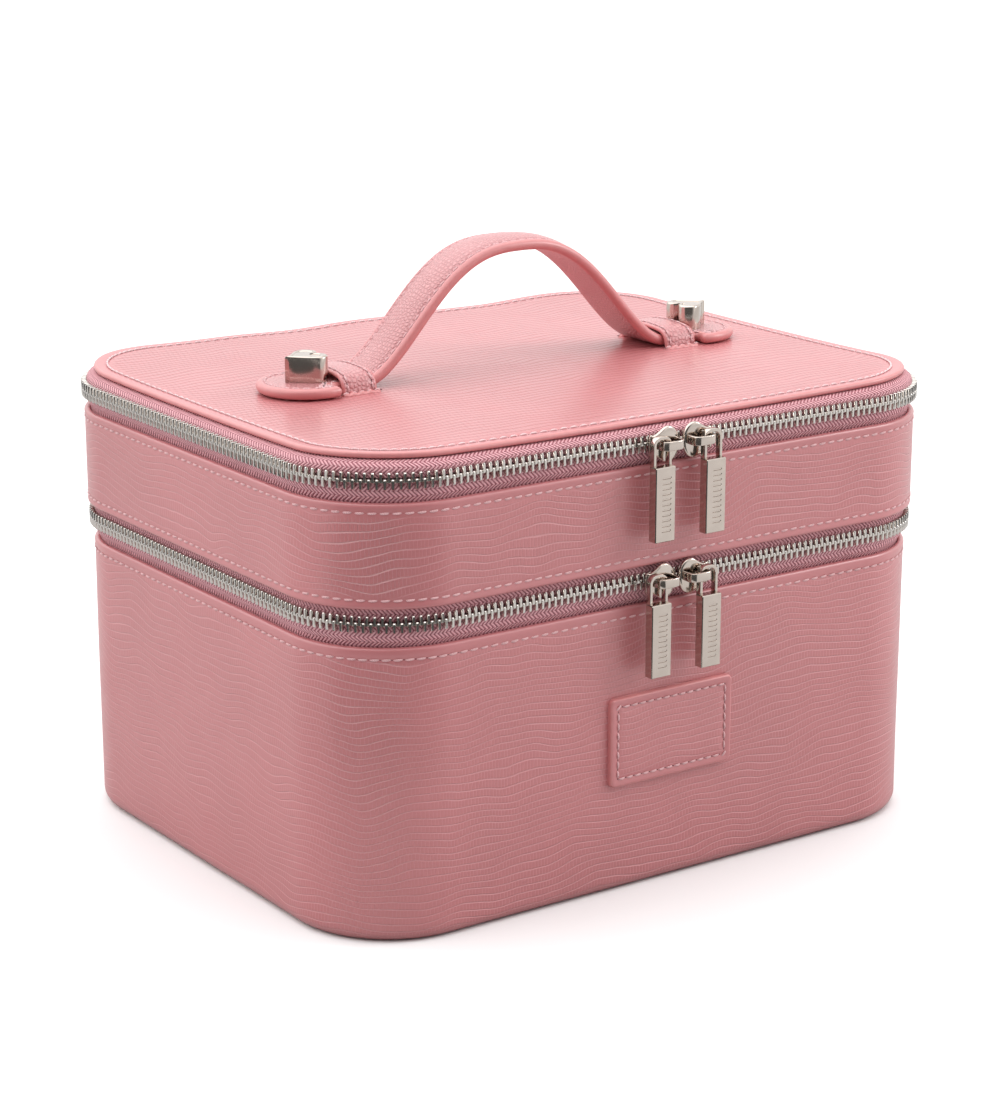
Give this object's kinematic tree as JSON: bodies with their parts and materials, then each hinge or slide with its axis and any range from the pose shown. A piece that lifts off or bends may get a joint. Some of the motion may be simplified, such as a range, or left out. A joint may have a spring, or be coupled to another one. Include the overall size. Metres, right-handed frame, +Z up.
{
  "type": "makeup train case",
  "caption": "Zipped makeup train case with a deep base, a shallow upper tray, a mirrored lid and a padded strap handle.",
  "frame": {"origin": "on the resting plane, under the middle of the body", "axes": "+X to the right along the front, -Y out of the front, +Z up"},
  "size_m": [0.2518, 0.2109, 0.203],
  "materials": {
    "leather": "embossed, satin",
    "edge_leather": "smooth rolled edge, satin",
    "tape": "woven herringbone",
    "lining": "woven, matte",
    "board": "plain covered board",
    "nickel": "polished",
    "mirror": "silvered glass"
  },
  "bodies": {
    "base": {"base_wall": "leather", "base_floor": "board", "base_lining": "lining", "base_rim_binding": "edge_leather", "front_patch": "leather", "lower_zip_tape_base": "tape", "lower_zip_teeth_base": "nickel", "lower_hinge_strip_base": "leather", "lower_zip_stop_left": "nickel", "lower_zip_stop_right": "nickel"},
    "tier": {"tier_wall": "leather", "tier_bottom_binding": "edge_leather", "tier_top_binding": "edge_leather", "tier_floor": "board", "tier_lining": "lining", "lower_zip_tape_tier": "tape", "lower_zip_teeth_tier": "nickel", "lower_hinge_strip_tier": "leather", "upper_zip_tape_tier": "tape", "upper_zip_teeth_tier": "nickel", "upper_hinge_strip_tier": "leather", "upper_zip_stop_left": "nickel", "upper_zip_stop_right": "nickel"},
    "lid": {"lid_panel": "leather", "lid_rolled_edge": "edge_leather", "lid_lining": "lining", "lid_mirror": "mirror", "mirror_frame": "leather", "upper_zip_tape_lid": "tape", "upper_zip_teeth_lid": "nickel", "upper_hinge_strip_lid": "leather", "keeper_loop_left": "leather", "keeper_loop_right": "leather"},
    "handle_end_left": {"handle_end_left": "leather", "heart_stud_left": "nickel", "stud_screw_left": "nickel"},
    "handle_arm_left": {"handle_arm_left": "leather"},
    "handle_crown": {"handle_crown": "leather"},
    "handle_arm_right": {"handle_arm_right": "leather"},
    "handle_end_right": {"handle_end_right": "leather", "heart_stud_right": "nickel", "stud_screw_right": "nickel"},
    "upper_left_slider": {"slider_plate_upper_left": "nickel", "slider_crown_upper_left": "nickel"},
    "upper_right_slider": {"slider_plate_upper_right": "nickel", "slider_crown_upper_right": "nickel"},
    "lower_left_slider": {"slider_plate_lower_left": "nickel", "slider_crown_lower_left": "nickel"},
    "lower_right_slider": {"slider_plate_lower_right": "nickel", "slider_crown_lower_right": "nickel"},
    "upper_left_pull": {"zip_pull_upper_left": "nickel"},
    "upper_right_pull": {"zip_pull_upper_right": "nickel"},
    "lower_left_pull": {"zip_pull_lower_left": "nickel"},
    "lower_right_pull": {"zip_pull_lower_right": "nickel"}
  },
  "joints": [
    {"name": "tier_hinge", "type": "hinge", "parent": "base", "child": "tier", "pos_m": [0, 0.1013, 0.1065], "axis": [-1, 0, 0], "range_deg": [0, 95]},
    {"name": "lid_hinge", "type": "hinge", "parent": "tier", "child": "lid", "pos_m": [0, 0.1022, 0.1525], "axis": [-1, 0, 0], "range_deg": [0, 100]},
    {"name": "handle_end_left_slide", "type": "slide", "parent": "lid", "child": "handle_end_left", "axis": [-1, 0, 0], "range_m": [0, 0.0077]},
    {"name": "handle_fold", "type": "hinge", "parent": "handle_end_left", "child": "handle_arm_left", "pos_m": [-0.0475, 0.001, 0.1613], "axis": [0, 1, 0], "range_deg": [0, 15], "stiffness_Nm_per_rad": 0.15, "springref_deg": -11.46},
    {"name": "handle_crown_left_flex", "type": "hinge", "parent": "handle_arm_left", "child": "handle_crown", "pos_m": [-0.0185, 0.001, 0.1947], "axis": [0, -1, 0], "range_deg": [0, 15]},
    {"name": "handle_crown_right_flex", "type": "hinge", "parent": "handle_crown", "child": "handle_arm_right", "pos_m": [0.0255, 0.001, 0.1947], "axis": [0, -1, 0], "range_deg": [0, 15]},
    {"name": "handle_end_right_flex", "type": "hinge", "parent": "handle_arm_right", "child": "handle_end_right", "pos_m": [0.0545, 0.001, 0.1613], "axis": [0, 1, 0], "range_deg": [0, 15]},
    {"name": "upper_left_slide", "type": "slide", "parent": "tier", "child": "upper_left_slider", "axis": [-1, 0, 0], "range_m": [0, 0.07]},
    {"name": "upper_right_slide", "type": "slide", "parent": "tier", "child": "upper_right_slider", "axis": [1, 0, 0], "range_m": [0, 0.07]},
    {"name": "lower_left_slide", "type": "slide", "parent": "base", "child": "lower_left_slider", "axis": [-1, 0, 0], "range_m": [0, 0.07]},
    {"name": "lower_right_slide", "type": "slide", "parent": "base", "child": "lower_right_slider", "axis": [1, 0, 0], "range_m": [0, 0.07]},
    {"name": "upper_left_pull_swing", "type": "hinge", "parent": "upper_left_slider", "child": "upper_left_pull", "pos_m": [-0.01035, -0.1059, 0.1525], "axis": [0, 1, 0], "range_deg": [0, 90]},
    {"name": "upper_right_pull_swing", "type": "hinge", "parent": "upper_right_slider", "child": "upper_right_pull", "pos_m": [0.01035, -0.1059, 0.1525], "axis": [0, -1, 0], "range_deg": [0, 90]},
    {"name": "lower_left_pull_swing", "type": "hinge", "parent": "lower_left_slider", "child": "lower_left_pull", "pos_m": [-0.01035, -0.105, 0.1065], "axis": [0, 1, 0], "range_deg": [0, 90]},
    {"name": "lower_right_pull_swing", "type": "hinge", "parent": "lower_right_slider", "child": "lower_right_pull", "pos_m": [0.01035, -0.105, 0.1065], "axis": [0, -1, 0], "range_deg": [0, 90]}
  ],
  "couplings": [
    {"joint": "handle_end_left_slide", "follows": "handle_fold", "m_per_rad": 0.0292},
    {"joint": "handle_crown_left_flex", "follows": "handle_fold", "ratio": 1},
    {"joint": "handle_crown_right_flex", "follows": "handle_fold", "ratio": 1},
    {"joint": "handle_end_right_flex", "follows": "handle_fold", "ratio": 1}
  ]
}
